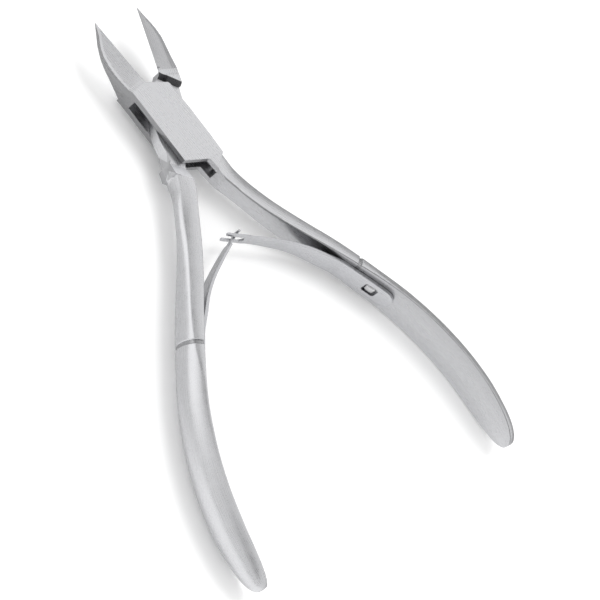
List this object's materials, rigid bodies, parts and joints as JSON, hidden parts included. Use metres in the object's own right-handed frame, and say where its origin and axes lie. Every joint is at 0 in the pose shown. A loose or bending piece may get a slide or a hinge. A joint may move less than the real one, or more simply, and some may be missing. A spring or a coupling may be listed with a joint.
{
  "type": "cuticle nipper",
  "caption": "Hand nipper with box joint, short pointed cutting jaws, curved flared handles and interlocking leaf springs that hold it open.",
  "frame": {"origin": "centre of the overall bounding box in the rest pose, on the mid-plane of the box joint, 31.47 mm below the pivot", "axes": "+Z along the pivot axis towards the front cheek, +Y towards the jaw tips along the bisector of the open levers, +X towards the female handle"},
  "size_m": [0.0712, 0.1058, 0.0094],
  "materials": {
    "lever_steel": "satin, brushed along the shanks",
    "pin_steel": "satin, ground flush",
    "spring_steel": "satin, brushed along the leaf"
  },
  "bodies": {
    "female": {"female_lever": "lever_steel", "pivot_pin": "pin_steel", "right_spring_foot": "spring_steel", "right_spring_stud": "pin_steel"},
    "male": {"male_lever": "lever_steel", "left_spring_foot": "spring_steel", "left_spring_stud": "pin_steel"},
    "right_spring": {"right_spring_arm": "spring_steel"},
    "left_spring": {"left_spring_arm": "spring_steel"}
  },
  "joints": [
    {"name": "jaw_pivot", "type": "hinge", "parent": "female", "child": "male", "pos_m": [0, 0.03147, 0], "axis": [0, 0, 1], "range_deg": [0, 26.2], "stiffness_Nm_per_rad": 0.3},
    {"name": "right_spring_flex", "type": "hinge", "parent": "female", "child": "right_spring", "pos_m": [0.01345, -0.00248, 0], "axis": [0, 0, 1], "range_deg": [-25.1, 0]},
    {"name": "left_spring_flex", "type": "hinge", "parent": "male", "child": "left_spring", "pos_m": [-0.01345, -0.00248, 0], "axis": [0, 0, 1], "range_deg": [0, 25.1]}
  ],
  "couplings": [
    {"joint": "right_spring_flex", "follows": "jaw_pivot", "ratio": -0.955},
    {"joint": "left_spring_flex", "follows": "jaw_pivot", "ratio": 0.955}
  ]
}
